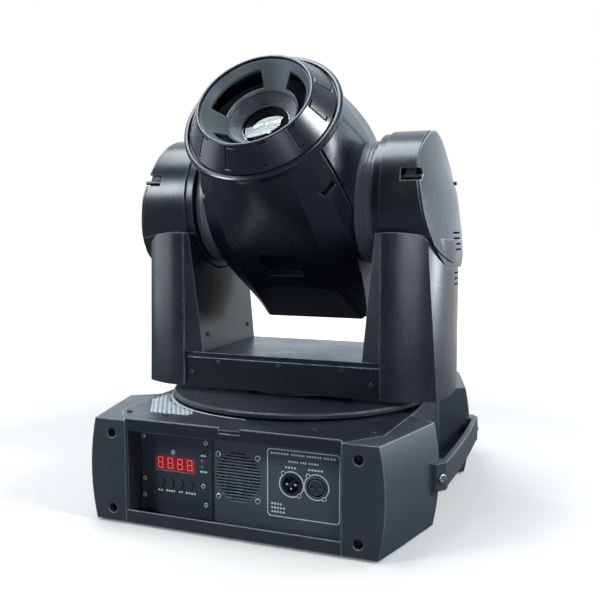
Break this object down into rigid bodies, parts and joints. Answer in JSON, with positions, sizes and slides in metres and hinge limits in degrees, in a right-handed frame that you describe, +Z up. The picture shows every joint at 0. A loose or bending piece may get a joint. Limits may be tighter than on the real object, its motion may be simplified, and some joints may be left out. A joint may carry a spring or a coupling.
{
  "type": "moving head light",
  "caption": "Stage light whose lens head tilts between two arms on a panning yoke, over a base with display, buttons, sockets and side handles.",
  "frame": {"origin": "on the floor under the pan axis, at the level of the rubber feet", "axes": "+Z up along the pan axis, -Y towards the control panel at the front, +X to the right seen from the front, along the tilt axis"},
  "size_m": [0.447, 0.456, 0.5559],
  "materials": {
    "cover_plastic": "moulded black plastic with a fine grain",
    "arm_plastic": "moulded black plastic, satin",
    "head_plastic": "moulded black plastic, satin",
    "bezel_plastic": "moulded black plastic, satin",
    "dish_plastic": "moulded black plastic, fine grain",
    "baffle_plastic": "dull black plastic with steps",
    "hub_plastic": "moulded black plastic, satin",
    "handle_plastic": "hard black plastic, satin",
    "chassis_paint": "black powder coat",
    "top_paint": "black powder coat",
    "panel_paint": "black powder coat, fine texture",
    "control_paint": "black powder coat, smooth",
    "crossbar_paint": "black powder coat",
    "disc_paint": "black powder coat, smooth",
    "frame_steel": "dark coated steel",
    "window_tint": "dark red tinted plastic",
    "circuit_board": "green circuit board",
    "socket_black": "black moulded socket body",
    "socket_metal": "blackened metal shell",
    "inlet_black": "black moulded inlet",
    "fan_plastic": "black fan plastic",
    "button_rubber": "soft black button",
    "foot_rubber": "black rubber",
    "belt_rubber": "black toothed belt rubber",
    "machined_aluminium": "machined aluminium",
    "heatsink": "extruded aluminium, plain",
    "bearing_steel": "turned steel",
    "plated_steel": "zinc-plated steel",
    "dark_screws": "blackened steel screws",
    "bright_screws": "bright plated screws",
    "lens_glass": "clear ground glass",
    "wheel_metal": "thin aluminium wheel",
    "colour_glass": "dichroic-coated glass disc"
  },
  "bodies": {
    "base": {"base_chassis": "chassis_paint", "base_top_plate": "top_paint", "front_panel": "panel_paint", "rear_panel": "panel_paint", "side_cover_left": "cover_plastic", "side_cover_right": "cover_plastic", "strap_handle_left": "handle_plastic", "strap_handle_right": "handle_plastic", "handle_bolts": "plated_steel", "control_panel": "control_paint", "display_window": "window_tint", "display_module": "circuit_board", "data_in_socket": "socket_metal", "data_out_socket": "socket_black", "base_fan_frame": "fan_plastic", "power_inlet": "inlet_black", "safety_cable_eye": "plated_steel", "rubber_feet": "foot_rubber", "power_supply": "plated_steel", "control_board": "circuit_board", "pan_bearing_housing": "bearing_steel", "pan_motor": "dark_screws", "pan_belt": "belt_rubber", "base_screws": "bright_screws"},
    "yoke": {"turntable_disc": "disc_paint", "pan_shaft": "machined_aluminium", "yoke_crossbar": "crossbar_paint", "arm_frame_left": "frame_steel", "arm_frame_right": "frame_steel", "arm_cover_left": "arm_plastic", "arm_cover_right": "arm_plastic", "drum_cover_left": "arm_plastic", "drum_cover_right": "arm_plastic", "arm_side_panel_left": "arm_plastic", "arm_side_panel_right": "arm_plastic", "tilt_motor": "dark_screws", "tilt_belt": "belt_rubber", "yoke_fasteners": "dark_screws"},
    "head": {"head_lower_shell": "head_plastic", "head_upper_shell": "head_plastic", "head_rear_grille": "head_plastic", "flange_ring": "bezel_plastic", "front_bezel": "bezel_plastic", "lens_dish": "dish_plastic", "lens_baffle": "baffle_plastic", "front_lens": "lens_glass", "head_chassis": "frame_steel", "lamp_module": "heatsink", "tilt_hubs": "hub_plastic"},
    "menu_button_1": {"menu_button_1": "button_rubber"},
    "menu_button_2": {"menu_button_2": "button_rubber"},
    "menu_button_3": {"menu_button_3": "button_rubber"},
    "menu_button_4": {"menu_button_4": "button_rubber"},
    "base_fan_rotor": {"base_fan_rotor": "fan_plastic"},
    "pan_motor_pulley": {"pan_motor_pulley": "machined_aluminium"},
    "tilt_motor_pulley": {"tilt_motor_pulley": "machined_aluminium"},
    "color_wheel": {"color_wheel": "colour_glass"},
    "gobo_wheel": {"gobo_wheel": "wheel_metal"},
    "head_fan_rotor": {"head_fan_rotor": "fan_plastic"},
    "focus_carriage": {"focus_carriage": "machined_aluminium"}
  },
  "joints": [
    {"name": "pan", "type": "hinge", "parent": "base", "child": "yoke", "pos_m": [0, 0, 0.1], "axis": [0, 0, 1], "range_deg": [-270, 270]},
    {"name": "tilt", "type": "hinge", "parent": "yoke", "child": "head", "pos_m": [0, 0, 0.379], "axis": [1, 0, 0], "range_deg": [-185.9, 79.1]},
    {"name": "pan_motor_turn", "type": "hinge", "parent": "base", "child": "pan_motor_pulley", "pos_m": [0, 0.11, 0.09], "axis": [0, 0, 1], "range_deg": [-1020, 1020]},
    {"name": "tilt_motor_turn", "type": "hinge", "parent": "yoke", "child": "tilt_motor_pulley", "pos_m": [0.15, 0, 0.24], "axis": [1, 0, 0], "range_deg": [-720, 310]},
    {"name": "base_fan_spin", "type": "hinge", "parent": "base", "child": "base_fan_rotor", "pos_m": [-0.003, -0.18, 0.0615], "axis": [0, 1, 0], "continuous": true},
    {"name": "head_fan_spin", "type": "hinge", "parent": "head", "child": "head_fan_rotor", "pos_m": [0, 0.10035, 0.30447], "axis": [0, -0.8028, 0.5962], "continuous": true},
    {"name": "color_wheel_spin", "type": "hinge", "parent": "head", "child": "color_wheel", "pos_m": [0, 0.03066, 0.40854], "axis": [0, -0.8028, 0.5962], "continuous": true},
    {"name": "gobo_wheel_spin", "type": "hinge", "parent": "head", "child": "gobo_wheel", "pos_m": [0, 0.02063, 0.416], "axis": [0, -0.8028, 0.5962], "continuous": true},
    {"name": "focus_slide", "type": "slide", "parent": "head", "child": "focus_carriage", "axis": [0, -0.8028, 0.5962], "range_m": [-0.02, 0.04]},
    {"name": "button_1_press", "type": "slide", "parent": "base", "child": "menu_button_1", "axis": [0, 1, 0], "range_m": [0, 0.0012], "stiffness_N_per_m": 600, "springref_m": -0.0008},
    {"name": "button_2_press", "type": "slide", "parent": "base", "child": "menu_button_2", "axis": [0, 1, 0], "range_m": [0, 0.0012], "stiffness_N_per_m": 600, "springref_m": -0.0008},
    {"name": "button_3_press", "type": "slide", "parent": "base", "child": "menu_button_3", "axis": [0, 1, 0], "range_m": [0, 0.0012], "stiffness_N_per_m": 600, "springref_m": -0.0008},
    {"name": "button_4_press", "type": "slide", "parent": "base", "child": "menu_button_4", "axis": [0, 1, 0], "range_m": [0, 0.0012], "stiffness_N_per_m": 600, "springref_m": -0.0008}
  ],
  "couplings": [
    {"joint": "pan_motor_turn", "follows": "pan", "ratio": 3.75},
    {"joint": "tilt_motor_turn", "follows": "tilt", "ratio": 3.8182}
  ]
}
